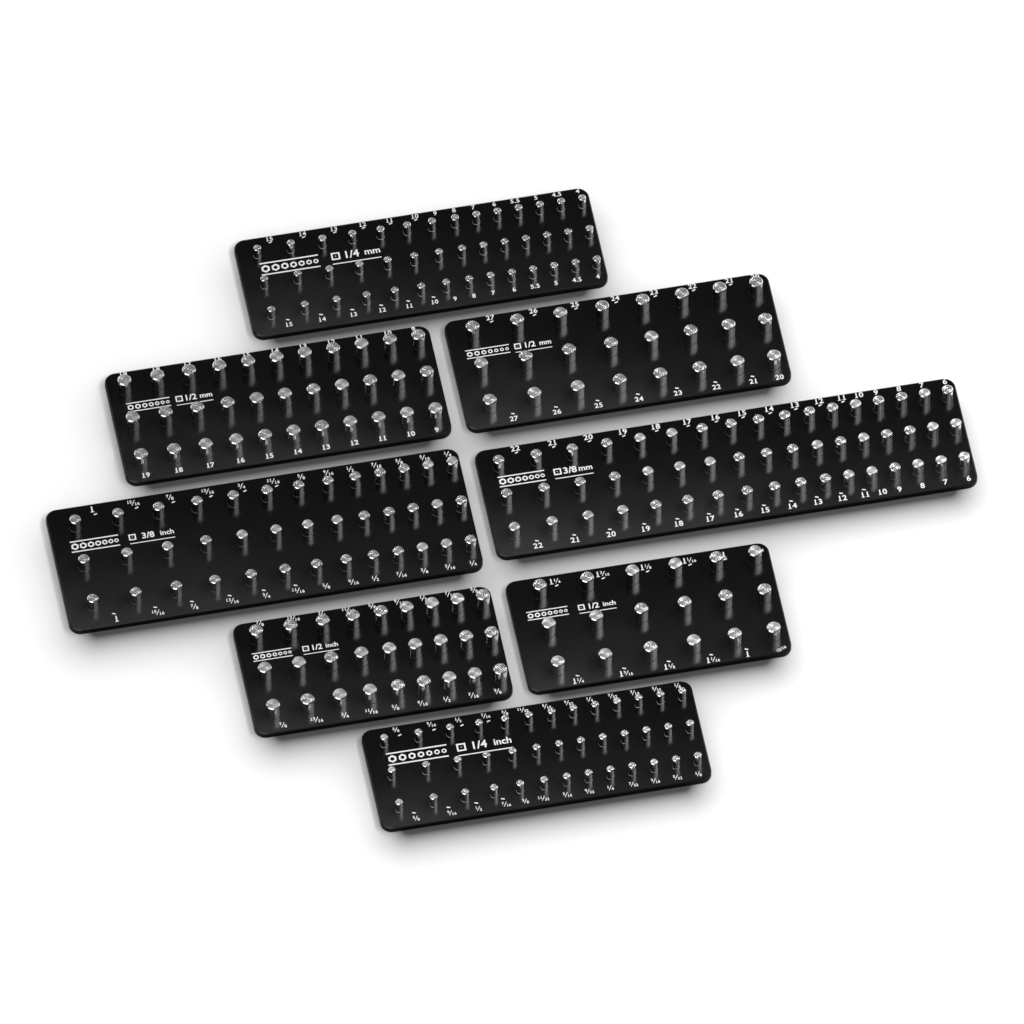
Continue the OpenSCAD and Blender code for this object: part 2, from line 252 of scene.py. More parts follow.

# %% [markdown]
# ## The black plates: finish
# The plates are aluminium, anodised black and left satin. Such a surface is nearly black, but it
# mirrors what stands on it, which is why every post has a soft grey streak in front of it. So the
# colour is very dark and the roughness is low. An image of scratches could add detail, but noise
# nodes work at any distance. So slow clouds of noise move the roughness, and a very fine bump is
# the blasted grain. The same clouds grey the base colour towards the front left corner of each
# plate, which is a painted sheen and not a change in the dye. The sawn sides mirror hardly
# anything, so a second shader covers them, picked by how far the surface points up or down.

# %% Black anodised aluminium
CLOUDS_PER_M = 9
GRAINS_PER_M = 2600
# The first colour is the plate's black; the second greys it as a painted sheen at the front left.
DYE, SHEEN_GREY = (0.001, 0.001, 0.001), (0.055, 0.055, 0.056)
SHEEN_FADE_TO_RIGHT = 0.75
SAWN_RISE = 0.5
black_plate, bench = new_finish("black_anodised_aluminium")
place = bench.node("TexCoord", output=3)
share = bench.node("UVMap", {"uv_map": "share"})
along = bench.node("SeparateXYZ", {}, {0: share})
across = bench.node("SeparateXYZ", {}, {0: share}, output=1)
clouds = grain(bench, place, CLOUDS_PER_M)
speckle = grain(bench, place, GRAINS_PER_M, detail=1.0)
# Painted sheen: the base colour greys towards the front left of each plate, in cloudy patches.
painted_sheen = bench.math("MAXIMUM", 1 - across, 0) ** 2 * (1 - SHEEN_FADE_TO_RIGHT * along) * clouds
bump = bench.node("Bump", {}, {"Strength": 0.05, "Distance": 0.00002, "Height": speckle})
face = bench.node("BsdfPrincipled", {}, {
    "Base Color": blend(bench, painted_sheen, DYE, SHEEN_GREY),
    "Roughness": 0.17 + 0.05 * clouds + 0.04 * speckle,
    "IOR": 1.33,
    "Normal": bump,
})
side = bench.node("BsdfPrincipled", {}, {
    "Base Color": (0.002, 0.002, 0.002, 1), "Roughness": 0.5, "Specular IOR Level": 0.1})
upward = bench.node("SeparateXYZ", {}, {0: bench.node("NewGeometry", output=1)}, output=2)
sawn = bench.math("LESS_THAN", bench.math("ABSOLUTE", upward), SAWN_RISE)
both = bench.node("MixShader", {}, {0: sawn, 1: face, 2: side})
bench.node("OutputMaterial", {}, {"Surface": both})
print("nodes in the black finish:", len(bench.tree.nodes))

# %% [markdown]
# ## The black plates: shape
# A plate is a rounded rectangle with a chamfer round its upper edge. A cube gets there in four
# bevels: the corners, the rim, the foot, and a last hair of rounding so that every edge catches
# light. The holes come from a Boolean with one cutter that holds a turned plug for every post:
# countersink, screw hole, seat and mouth. Cutting them one by one would be far slower. A UV map
# that runs over the whole plate then tells the finish where to lay its painted sheen.

# %% Cut the plates
CORNER_R = 9.5
RIM_CHAMFER = 1.0
FOOT_CHAMFER = 0.4
EDGE_ROUND = 0.07
SEAT_DEPTH = 1.6
SEAT_GAP = 0.12
SEAT_CHAMFER = 0.3
CUT = 1.0
ROUND_STEPS = 32
POST_D = {"quarter": 6.3, "three_eighths": 9.2, "half": 11.3}
SPIGOT_STEP = 0.4
SCREW_D = {"quarter": 3, "three_eighths": 4, "half": 5}
HEAD_RATIO = 1.84
HEAD_RECESS = 0.15
HEAD_RIM = 0.25


def flat_edges(bm, height):
    """The edges that lie at one height."""
    return [e for e in bm.edges if all(abs(v.co.z - height) < 0.01 * MM for v in e.verts)]


def soften(bm, edges, width, segments=1):
    bmesh.ops.bevel(bm, geom=edges, offset=width * MM, offset_type="OFFSET", segments=segments,
                    profile=0.5, affect="EDGES", material=-1, clamp_overlap=True)


def plate_blank(low, high):
    bm = bmesh.new()
    bmesh.ops.create_cube(bm, size=1)
    bmesh.ops.scale(bm, vec=high - low, verts=bm.verts)
    bmesh.ops.translate(bm, vec=(low + high) / 2, verts=bm.verts)
    upright = [e for e in bm.edges if abs(e.verts[0].co.z - e.verts[1].co.z) > MM]
    soften(bm, upright, CORNER_R, segments=12)
    soften(bm, flat_edges(bm, high.z), RIM_CHAMFER)
    soften(bm, flat_edges(bm, low.z), FOOT_CHAMFER)
    ridges = [e for e in bm.edges if e.calc_face_angle(0) > math.radians(30)]
    soften(bm, ridges, EDGE_ROUND, segments=2)
    return bm


def hole_plug(tray):
    """What is cut away for one post and its screw, measured from the underside."""
    drive = drive_of(tray)
    top = PLATE_BOX[tray][1].z / MM
    head = HEAD_RATIO * SCREW_D[drive] / 2 + SEAT_GAP
    shank = SCREW_D[drive] / 2 + SEAT_GAP
    seat = POST_D[drive] / 2 - SPIGOT_STEP + SEAT_GAP
    cone_foot = HEAD_RECESS + HEAD_RIM
    return lathe([
        (0, -CUT), (head, -CUT), (head, cone_foot), (shank, cone_foot + head - shank),
        (shank, top - SEAT_DEPTH), (seat, top - SEAT_DEPTH), (seat, top - SEAT_CHAMFER),
        (seat + SEAT_CHAMFER + CUT, top + CUT), (0, top + CUT),
    ], ROUND_STEPS)


def cut_away(bm, cutter_bm):
    """bm with cutter_bm taken out of it."""
    objects = []
    for part in (bm, cutter_bm):
        mesh = bpy.data.meshes.new("stock")
        part.to_mesh(mesh)
        part.free()
        objects.append(bpy.data.objects.new("stock", mesh))
        bpy.context.scene.collection.objects.link(objects[-1])
    stock, cutter = objects
    modifier = stock.modifiers.new("holes", "BOOLEAN")
    modifier.operation, modifier.solver, modifier.object = "DIFFERENCE", "EXACT", cutter
    bpy.context.view_layer.update()
    result = bmesh.new()
    result.from_mesh(stock.evaluated_get(bpy.context.evaluated_depsgraph_get()).to_mesh())
    for used in objects:
        bpy.data.meshes.remove(used.data)
    return result


def map_share(bm, low, high):
    """A UV map that runs from 0 to 1 over a plate, from its front left corner."""
    uv = bm.loops.layers.uv.new("share")
    for face in bm.faces:
        for corner in face.loops:
            spot = corner.vert.co - low
            corner[uv].uv = (spot.x / (high.x - low.x), spot.y / (high.y - low.y))


for tray in SIZES:
    low, high = PLATE_BOX[tray]
    feet = [foot for row in ROWS for foot in POSTS[tray, row]]
    plugs = repeated(hole_plug(tray), [Vector((foot.x, foot.y, 0)) for foot in feet])
    bm = cut_away(plate_blank(low, high), plugs)
    map_share(bm, low, high)
    plate = finish_piece(bm, f"{tray}_black_plate", black_plate, tray,
                         [f"{tray}_plate"])
    flatten = plate.modifiers.new("even shading", "WEIGHTED_NORMAL")
    flatten.keep_sharp = True
    print(plate.name, "faces:", len(plate.data.polygons))

# %% [markdown]
# ## The turned posts: finish
# The posts are cut on a lathe, and the tool leaves fine rings all the way round. Rings spread
# light across themselves but not along themselves, so a flat end shows bright wedges like a bow
# tie and the side shows upright streaks. An anisotropic shader could do that, but its tangent
# wouldn't survive an export. Here the rings tilt the normal instead. Every point knows its place
# from the post's axis, which is stored in a UV map. The tilt follows the profile of the post, and
# its size comes from one-dimensional noise along that profile. A random tone for each post, kept as
# an attribute, shifts the noise and the colour, so no two ends look alike. In a thin band where a
# post meets its plate the flare is painted dark and made rough: a painted shade in that corner,
# full on the thick posts and lighter on the small ones.

# %% Turned aluminium
FOOT_Z = PLATE_BOX["half_in_large"][1].z / MM
# Painted shade at the foot of each post: its band's height, how much each drive is spared, its
# colour.
FOOT_SHADE_BAND = 0.3
SPARED_FROM_FOOT_SHADE = {"quarter": 0.4, "three_eighths": 0.1, "half": 0.0}
FOOT_SHADE_COLOUR = (0.04, 0.04, 0.04)
GREYER, BRIGHTER = (0.80, 0.80, 0.81), (0.90, 0.90, 0.91)
RING_PITCH = 0.09
RING_TILT = 2.4
SIDE_SHARE = 0.1
TONE_SHIFT = 40
turned, bench = new_finish("turned_aluminium")
from_axis = bench.node("UVMap", {"uv_map": "from_axis"})
tone = bench.node("Attribute", {"attribute_name": "post_tone"}, output=2)
unshaded_foot_share = bench.node("Attribute", {"attribute_name": "unshaded_foot"}, output=2)
height = bench.node("SeparateXYZ", {}, {0: bench.node("TexCoord", output=3)}, output=2)
radius = bench.vector("LENGTH", from_axis, output=1)
outward = bench.vector("NORMALIZE", from_axis)
normal = bench.node("NewGeometry", output=1)
rise = bench.node("SeparateXYZ", {}, {0: normal}, output=2)
lean = bench.vector("DOT_PRODUCT", normal, outward, output=1)
profile = bench.vector("SUBTRACT", bench.vector("MULTIPLY", outward, rise),
                       bench.node("CombineXYZ", {}, {2: lean}))
rings = bench.node("TexNoise", {"noise_dimensions": "1D"}, {
    "W": (radius - height) / (RING_PITCH * MM) + TONE_SHIFT * tone, "Scale": 1.0, "Detail": 2.0})
level = bench.math("MAXIMUM", rise, 0) ** 8
# Below the band the base colour is painted dark: a painted shade where the post meets the plate.
above = bench.math("GREATER_THAN", height, (FOOT_Z + FOOT_SHADE_BAND) * MM)
unshaded = bench.math("MAXIMUM", above, unshaded_foot_share)
tilt = RING_TILT * (rings - 0.5) * (SIDE_SHARE + (1 - SIDE_SHARE) * level)
bend = bench.vector("MULTIPLY", profile, tilt)
bent = bench.vector("NORMALIZE", bench.vector("ADD", normal, bend))
shader = bench.node("BsdfPrincipled", {}, {
    "Base Color": blend(bench, unshaded, FOOT_SHADE_COLOUR, blend(bench, tone, GREYER, BRIGHTER)),
    "Roughness": 0.11 + 0.04 * tone + 0.14 * level + 0.4 * (1 - unshaded),
    "Metallic": 1.0,
    "Normal": bent,
})
bench.node("OutputMaterial", {}, {"Surface": shader})
print("nodes in the turned finish:", len(bench.tree.nodes))

# %% [markdown]
# ## The turned posts: shape
# A post is one turned profile, so the lathe makes it: a hole for the screw, a spigot in its seat, a
# small flare where it stands on the plate, a plain side, and a chamfer that guides the socket on.
# A bevel on a cylinder would do for the outside, but a profile also gives the bore and the spigot.
# The chamfer is a little finer than in the CAD model, because light shows its width at once.

# %% Turn the posts
POST_CHAMFER = {"quarter": 0.5, "three_eighths": 0.6, "half": 0.7}
POST_FLARE = 0.25
SPIGOT_CHAMFER = 0.3
SCREW_BITE = 7.0
HOLE_SPARE = 1.0


def turned_post(drive, post_h):
    r = POST_D[drive] / 2
    spigot = r - SPIGOT_STEP
    bore = SCREW_D[drive] / 2 + SEAT_GAP
    bottom = SEAT_GAP - SEAT_DEPTH
    bore_top = SCREW_BITE + HOLE_SPARE - SEAT_DEPTH
    chamfer = POST_CHAMFER[drive]
    bm = lathe([
        (0, bore_top + bore / 2), (bore, bore_top), (bore, bottom),
        (spigot - SPIGOT_CHAMFER, bottom), (spigot, bottom + SPIGOT_CHAMFER), (spigot, 0),
        (r + POST_FLARE, 0), (r, POST_FLARE), (r, post_h - chamfer), (r - chamfer, post_h),
        (0, post_h),
    ], ROUND_STEPS)
    uv = bm.loops.layers.uv.new("from_axis")
    for face in bm.faces:
        for corner in face.loops:
            corner[uv].uv = corner.vert.co.xy
    return bm


for tray in SIZES:
    post_h = (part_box(f"{tray}_middle_posts")[1].z - PLATE_BOX[tray][1].z) / MM
    for row in ROWS:
        feet = POSTS[tray, row]
        bm = repeated(turned_post(drive_of(tray), post_h), feet)
        posts = finish_piece(bm, f"{tray}_{row}_turned_posts", turned, tray,
                             [f"{tray}_{row}_posts"])
        points = len(posts.data.vertices)
        tones = np.repeat([random.random() for foot in feet], points // len(feet))
        # How much of the painted shade at the foot this drive is spared.
        unshaded_foot_shares = np.full(points, SPARED_FROM_FOOT_SHADE[drive_of(tray)])
        for name, values in (("post_tone", tones), ("unshaded_foot", unshaded_foot_shares)):
            attribute = posts.data.attributes.new(name, "FLOAT", "POINT")
            attribute.data.foreach_set("value", values)
    print(tray, "posts stand", round(post_h, 2), "mm high")

# %% [markdown]
# ## The screws
# Each post is held from below by a countersunk screw with a hexagon key socket. The lathe turns
# its head and shank. The socket starts as a round pocket, and its points are then pulled in to the
# nearest flat of a hexagon, which is quicker than cutting it out.

# %% Zinc finish and screws
KEY_RATIO = 0.64
KEY_DEPTH_RATIO = 0.4
SCREW_STEPS = 24
SPANGLES_PER_M = 900
zinc, bench = new_finish("zinc_plated_steel")
mottle = grain(bench, bench.node("TexCoord", output=3), SPANGLES_PER_M)
shader = bench.node("BsdfPrincipled", {}, {
    "Base Color": blend(bench, mottle, (0.46, 0.47, 0.50), (0.60, 0.61, 0.64)),
    "Roughness": 0.28 + 0.16 * mottle,
    "Metallic": 1.0,
})
bench.node("OutputMaterial", {}, {"Surface": shader})


def key_screw(drive, plate_t):
    shank = SCREW_D[drive] / 2
    head = HEAD_RATIO * shank
    flat = KEY_RATIO * shank
    corner = flat / math.cos(math.pi / 6)
    cone_foot = HEAD_RECESS + HEAD_RIM
    floor = HEAD_RECESS + KEY_DEPTH_RATIO * 2 * shank
    tip = plate_t - SEAT_DEPTH + SCREW_BITE
    bm = lathe([
        (0, floor), (corner, floor), (corner, HEAD_RECESS), (head, HEAD_RECESS), (head, cone_foot),
        (shank, cone_foot + head - shank), (shank, tip - shank / 4), (shank * 0.75, tip), (0, tip),
    ], SCREW_STEPS)
    for v in bm.verts:
        if abs(v.co.xy.length - corner * MM) < 0.01 * MM and v.co.z < (floor + 0.01) * MM:
            turn = math.atan2(v.co.y, v.co.x) % (math.pi / 3) - math.pi / 6
            v.co.xy *= math.cos(math.pi / 6) / math.cos(turn)
    return bm


for (tray, row), feet in POSTS.items():
    plate_t = PLATE_BOX[tray][1].z / MM
    heads = [Vector((foot.x, foot.y, 0)) for foot in feet]
    finish_piece(repeated(key_screw(drive_of(tray), plate_t), heads), f"{tray}_{row}_zinc_screws",
                 zinc, tray, [f"{tray}_{row}_screws"])
print("screws:", sum(len(feet) for feet in POSTS.values()))

# %% [markdown]
# ## White print
# The numbers are printed on the plate in white ink, which is matt and a little uneven. It could be
# painted into the plate's own finish, but that takes an image. Real letters of mesh stay sharp at
# any distance, and ink has a thickness, if only a few hundredths of a millimetre. All the print of
# a tray is laid flat on one sheet first, and the whole sheet is raised at the end.

# %% White ink
WEAR_PER_M = 1500
white_ink, bench = new_finish("white_ink")
wear = grain(bench, bench.node("TexCoord", output=3), WEAR_PER_M)
shader = bench.node("BsdfPrincipled", {}, {
    "Base Color": blend(bench, wear, (0.80, 0.80, 0.79), (0.94, 0.94, 0.93)),
    "Roughness": 0.45 + 0.15 * wear,
})
bench.node("OutputMaterial", {}, {"Surface": shader})
print("nodes in the ink:", len(bench.tree.nodes))

# %% [markdown]
# ## Letters and shapes for the print
# A text object is the easiest source of digits. It is made a mesh before it is used, because only
# a mesh can join the sheet. Each text is made once and kept, since most sizes appear twice. The
# other marks are flat shapes: a dash, a ring of any number of sides, and a bar.

# %% Flat shapes
INK_WEIGHT = 0.02
INK_SQUEEZE = 1.04
DIGIT_H = 0.70 + 2 * INK_WEIGHT
DIGIT_MIDDLE = 0.341
kept_shapes = {}


def flat_text(text):
    """The outline of a text as a flat mesh, its digits one unit high, centred on the origin."""
    if text not in kept_shapes:
        curve = bpy.data.curves.new("print", "FONT")
        curve.body, curve.resolution_u, curve.offset = text, 3, INK_WEIGHT
        holder = bpy.data.objects.new("print", curve)
        bpy.context.scene.collection.objects.link(holder)
        graph = bpy.context.evaluated_depsgraph_get()
        mesh = bpy.data.meshes.new_from_object(holder.evaluated_get(graph))
        bpy.data.curves.remove(curve)
        xs = [v.co.x for v in mesh.vertices]
        mesh.transform(Matrix.Translation((-(min(xs) + max(xs)) / 2, -DIGIT_MIDDLE, 0)))
        mesh.transform(Matrix.Diagonal((INK_SQUEEZE / DIGIT_H, 1 / DIGIT_H, 1, 1)))
        kept_shapes[text] = mesh
    return kept_shapes[text]


def text_width(text):
    return 2 * max(v.co.x for v in flat_text(text).vertices)


def flat_shape(name, make):
    """A flat mesh that `make` draws in a bmesh, kept under its name."""
    if name not in kept_shapes:
        bm = bmesh.new()
        make(bm)
        kept_shapes[name] = bpy.data.meshes.new(name)
        bm.to_mesh(kept_shapes[name])
        bm.free()
    return kept_shapes[name]


def ring(sides, band):
    """A ring of outer radius 1 with a band of the given width."""
    def make(bm):
        bmesh.ops.create_circle(bm, cap_ends=True, segments=sides, radius=1)
        inner = bmesh.ops.inset_region(bm, faces=bm.faces[:], thickness=band, use_boundary=True,
                                       use_even_offset=True)
        middle = [f for f in bm.faces if f not in inner["faces"]]
        bmesh.ops.delete(bm, geom=middle, context="FACES_ONLY")
    return flat_shape(f"ring {sides} {band}", make)


def bar():
    """A square with sides of 1, to be stretched into dashes and lines."""
    def make(bm):
        bmesh.ops.create_grid(bm, x_segments=1, y_segments=1, size=0.5)
    return flat_shape("bar", make)


def stamp(sheet, shape, x, y, width, height=None, turn=0.0):
    """Puts a flat shape on the sheet: place and size in mm, turned anticlockwise."""
    old = len(sheet.verts)
    sheet.from_mesh(shape)
    sheet.verts.ensure_lookup_table()
    size = Matrix.Diagonal((width * MM, (height or width) * MM, 1, 1))
    spot = Matrix.Translation((x * MM, y * MM, 0)) @ Matrix.Rotation(math.radians(turn), 4, "Z")
    bmesh.ops.transform(sheet, matrix=spot @ size, verts=sheet.verts[old:])


print("width of a printed 18 over its height:", round(text_width("18"), 2))

# %% [markdown]
# ## Size numbers
# Each column has its size printed near the rear edge and again near the front edge. Beside the
# large sockets, where there is room, the number stands to the right of its post with a short dash
# that points back at it. Further on it stands in line with the post. The shift is a short list of
# columns and millimetres with straight lines between. Inch sizes are diagonal fractions. One label
# has no room at all, and is printed small and slanted in the corner of its plate.

# %% Print the numbers
PRINT = {
    # digit height, rear and front line, ticked columns, rear and front dash line, shift at columns
    "quarter_mm": (4.35, 47.3, -42.9, 6, 43.7, -37.9,
                   {0: 12.9, 2: 12.4, 5: 9.2, 7: 1.9, 8: 0.2, 13: -1}),
    "half_mm_small": (4.9, 54.3, -51.3, 0, 0, 0, {0: 1.5, 9: 0.8, 10: -1.2}),
    "half_mm_large": (4.9, 53.9, -52, 7, 49.6, -47, {0: 18, 4: 12.6, 6: 11.2, 7: 2.2}),
    "three_eighths_in": (4.9, 56.9, -56.9, 6, 51.4, -51.4,
                         {0: 17, 1: 15.6, 2: 12.2, 3: 11.6, 5: 8, 7: 2, 8: -1.5, 12: -1}),
    "three_eighths_mm": (5.4, 51.8, -49.5, 12, 47.4, -44.5,
                         {0: 17.2, 5: 16.2, 7: 12.5, 11: 11.1, 13: 1.1}),
    "half_in_small": (4.9, 53.9, -50.9, 0, 0, 0, {0: 5.9, 1: 5.2, 4: -4.6}),
    "half_in_large": (4.5, 50.2, -52.9, 5, 45.5, -47.9, {0: 15.1, 3: 13.2, 4: 8.4, 5: 4.2}),
    "quarter_in": (4.35, 46.3, -44.7, 4, 40.4, -39,
                   {0: 12.2, 1: 12.2, 2: 9.1, 3: 7.2, 4: 2.3, 5: -2.8, 12: -1.6}),
}
FRACTION_SCALE = 0.62
DASH_W, DASH_H, DASH_TURN = 3.0, 1.1, 18
DASH_SHIFT = {"quarter_in": (2.2, -0.8), "three_eighths_in": (2, -1.2)}
USUAL_DASH_SHIFT = (0.4, 0)
WHOLE_SCALE = 1.25
CELL = 0.76
FOOT_W, FOOT_H = 0.5, 0.12
CORNER_TRAY = "half_in_large"
CORNER_TEXT_H, CORNER_TURN = 2.9, 22


def print_number(sheet, number, x, y, digit_h):
    """A number whose digits stand in cells of one width. A 1 is a little shorter and has a foot."""
    cells = [0.5 if mark == "." else 1 for mark in number]
    x -= CELL * digit_h * sum(cells) / 2
    for mark, cell in zip(number, cells):
        x += CELL * digit_h * cell / 2
        foot_h = FOOT_H * digit_h if mark == "1" else 0
        stamp(sheet, flat_text(mark), x, y + foot_h / 2, digit_h, digit_h - foot_h)
        if foot_h:
            stamp(sheet, bar(), x, y - (digit_h - foot_h) / 2, FOOT_W * digit_h, foot_h)
        x += CELL * digit_h * cell / 2


def print_size(sheet, size, unit, x, y, digit_h):
    whole, rest = divmod(size, 1)
    if unit == "mm":
        print_number(sheet, f"{float(size):g}", x, y, digit_h)
        return
    if not rest:
        print_number(sheet, str(whole), x, y, WHOLE_SCALE * digit_h)
        return
    small = FRACTION_SCALE * digit_h
    top, under = str(rest.numerator), str(rest.denominator)
    reach_top, reach_under = CELL * small * len(top), CELL * small * len(under)
    if whole:
        x += 0.3 * digit_h
        print_number(sheet, str(whole), x - reach_top - 0.6 * digit_h, y, WHOLE_SCALE * digit_h)
    print_number(sheet, top, x - reach_top / 2 - 0.16 * digit_h, y + 0.26 * digit_h, small)
    stamp(sheet, bar(), x, y, 0.12 * digit_h, 1.2 * digit_h, turn=-30)
    print_number(sheet, under, x + reach_under / 2 + 0.16 * digit_h, y - 0.3 * digit_h, small)


def print_sizes(sheet, tray):
    digit_h, rear, front, ticked, rear_dash, front_dash, shifts = PRINT[tray]
    left = PLATE_BOX[tray][0].x
    unit = unit_of(tray)
    feet = POSTS[tray, "middle"]
    rear_shift, front_shift = DASH_SHIFT.get(tray, USUAL_DASH_SHIFT)
    for i, (foot, size) in enumerate(zip(feet, SIZES[tray])):
        x = (foot.x - left) / MM + float(np.interp(i, list(shifts), list(shifts.values())))
        for line in (rear, front):
            if tray == CORNER_TRAY and i == len(feet) - 1 and line == front:
                stamp(sheet, flat_text(str(size)), x, line, CORNER_TEXT_H, turn=CORNER_TURN)
            else:
                print_size(sheet, size, unit, x, line, digit_h)
        if i < ticked:
            stamp(sheet, bar(), x + rear_shift, rear_dash, DASH_W, DASH_H, turn=DASH_TURN)
            stamp(sheet, bar(), x + front_shift, front_dash, DASH_W, DASH_H, turn=-DASH_TURN)


sheets = {tray: bmesh.new() for tray in SIZES}
for tray, sheet in sheets.items():
    print_sizes(sheet, tray)
print("printed corners:", {tray: len(sheet.verts) for tray, sheet in sheets.items()})

# %% [markdown]
# ## Marks between the rows
# Between the rear and the middle row a tray has two white marks. Here the first is a plain row of
# hexagons that get smaller, as the sockets do, between two lines. The second says which drive the
# tray is for: a square with its ball, the size of the square, and the unit of the numbers.

# %% Print the marks
MARKS = {
    # left, bottom, width and height of the hexagon row, then of the drive mark
    "quarter_mm": ((17.9, 10.8, 50, 13.1), (78.5, 10.8, 41.5, 12.1)),
    "half_mm_small": ((13.5, 14.7, 36.8, 9.4), (55.1, 13.9, 30.9, 9.6)),
    "half_mm_large": ((12.8, 15.2, 37, 9), (54, 14.2, 31.3, 9.2)),
    "three_eighths_in": ((15.2, 16.1, 40.9, 11.5), (64.4, 15.7, 38.1, 9.8)),
    "three_eighths_mm": ((15, 14.8, 39.5, 11), (61.9, 14.4, 32.7, 10.6)),
    "half_in_small": ((11.3, 16.4, 33.4, 8.6), (53.6, 15.6, 29.8, 8.7)),
    "half_in_large": ((12.3, 14.6, 34.8, 8.9), (55.7, 13.5, 31.6, 9)),
    "quarter_in": ((17, 11.5, 50.8, 12.7), (75.7, 10.1, 45.9, 12.5)),
}
HEXAGONS = 7
SMALLEST = 0.6


def print_hexagons(sheet, left, bottom, width, height):
    line = 0.1 * height
    room = height - 4 * line
    sizes = [room * (1 - (1 - SMALLEST) * i / (HEXAGONS - 1)) for i in range(HEXAGONS)]
    gap = (width - sum(sizes)) / HEXAGONS
    x = left + gap / 2
    for size in sizes:
        stamp(sheet, ring(6, 0.42), x + size / 2, bottom + height / 2, size / 2)
        x += size + gap
    for y in (bottom + line / 2, bottom + height - line / 2):
        stamp(sheet, bar(), left + width / 2, y, width, line)


def print_drive(sheet, drive, unit, left, bottom, width, height):
    line = 0.08 * height
    digit_h = 0.62 * height
    unit_h = 0.85 * digit_h
    y = bottom + height - digit_h / 2
    half = digit_h / 2
    drive_w, unit_w = digit_h * text_width(drive), unit_h * text_width(unit)
    gap = (width - digit_h - drive_w - unit_w) / 2
    stamp(sheet, ring(4, 0.26), left + half, y, half * math.sqrt(2), turn=45)
    stamp(sheet, flat_text("\u2022"), left + half, y, 0.3 * digit_h)
    stamp(sheet, flat_text(drive), left + digit_h + gap + drive_w / 2, y, digit_h)
    stamp(sheet, flat_text(unit), left + width - unit_w / 2, y, unit_h)
    stamp(sheet, bar(), left + width / 2, bottom + line / 2, width, line)


for tray, sheet in sheets.items():
    row_mark, drive_mark = MARKS[tray]
    print_hexagons(sheet, *row_mark)
    print_drive(sheet, DRIVES[drive_of(tray)], unit_of(tray), *drive_mark)
print("marks:", 2 * len(sheets))

# %% [markdown]
# ## Thickness of the print
# A Solidify modifier could thicken the sheets. Extruding all their faces upwards at once does the
# same in one step and closes the sides too, so each letter comes out as a closed solid. A tiny lift
# keeps the ink's underside off the plate, where two faces in one plane would flicker.

# %% Raise the print
INK_T = 0.06
INK_LIFT = 0.01
for tray, sheet in sheets.items():
    low, high = PLATE_BOX[tray]
    bmesh.ops.remove_doubles(sheet, verts=sheet.verts, dist=0.001 * MM)
    raised = bmesh.ops.extrude_face_region(sheet, geom=sheet.faces[:])
    upper = [v for v in raised["geom"] if isinstance(v, bmesh.types.BMVert)]
    bmesh.ops.translate(sheet, vec=(0, 0, INK_T * MM), verts=upper)
    bmesh.ops.recalc_face_normals(sheet, faces=sheet.faces)
    corner = Vector((low.x, (low.y + high.y) / 2, high.z + INK_LIFT * MM))
    bmesh.ops.translate(sheet, vec=corner, verts=sheet.verts)
    open_edges = sum(not e.is_manifold for e in sheet.edges)
    ink = finish_piece(sheet, f"{tray}_white_print", white_ink, tray)
    print(ink.name, "faces:", len(ink.data.polygons), "open edges:", open_edges)

# %% [markdown]
# ## The floor
# The set lies on a plain white floor. Its soft shadow comes from a formula: the distance of a point
# of the floor from a rounded rectangle, which is a little smaller than the tray and lies nearer the
# front. Each tray darkens the floor by an exponential of that distance, and all eight multiply. The
# lamps alone would give a shadow with hard streaks, since they are few and stand at the sides.
# Further out, where the lamps fade, a glow keeps the floor white for what sees it.

# %% White floor
FLOOR_SIZE = 12.0
FLOOR_DROP = 0.2
DEEPEST = 0.93
REACH = 21.0
INSET = {"left": 17, "right": 20, "front": -4, "rear": 38}
CORNER = 6.0
GLOW_NEAR, GLOW_FAR = 0.33, 1.4
floor_white, bench = new_finish("white_floor")
place = bench.node("NewGeometry")
shade = 1.0
for low, high in PLATE_BOX.values():
    first = Vector((low.x + INSET["left"] * MM, low.y + INSET["front"] * MM, 0))
    last = Vector((high.x - INSET["right"] * MM, high.y - INSET["rear"] * MM, 0))
    middle = (first + last) / 2 - Vector((0, 0, FLOOR_DROP * MM))
    core = (last - first) / 2 - Vector((CORNER, CORNER, 0)) * MM
    away = bench.vector("ABSOLUTE", bench.vector("SUBTRACT", place, middle))
    outside = bench.vector("MAXIMUM", bench.vector("SUBTRACT", away, core), (0, 0, 0))
    gap = bench.math("MAXIMUM", bench.vector("LENGTH", outside, output=1) - CORNER * MM, 0)
    shade = shade * (1 - DEEPEST * bench.math("EXPONENT", gap / (-REACH * MM)))
mirrored = bench.node("LightPath", output=3) + bench.node("LightPath", output=6)
seen = bench.math("MINIMUM", bench.node("LightPath") + mirrored, 1)
far = bench.math("MINIMUM", bench.vector("LENGTH", place, output=1) / GLOW_FAR, 1) ** 2
glow = seen * shade * (GLOW_NEAR + (1 - GLOW_NEAR) * far)
shader = bench.node("BsdfPrincipled", {}, {
    "Base Color": blend(bench, shade, (0, 0, 0), (0.8, 0.8, 0.8)),
    "Roughness": 1.0,
    "Specular IOR Level": 0.0,
    "Emission Color": blend(bench, glow, (0, 0, 0), (1, 1, 1)),
    "Emission Strength": 1.0,
})
bench.node("OutputMaterial", {}, {"Surface": shader})
print("nodes in the floor:", len(bench.tree.nodes))

# %% [markdown]
# ## Laying the floor
# One large square is enough, as nothing on it bends. It is a stage and not a piece of the set, and
# it lies a fifth of a millimetre low, so that it doesn't meet the undersides in one plane.

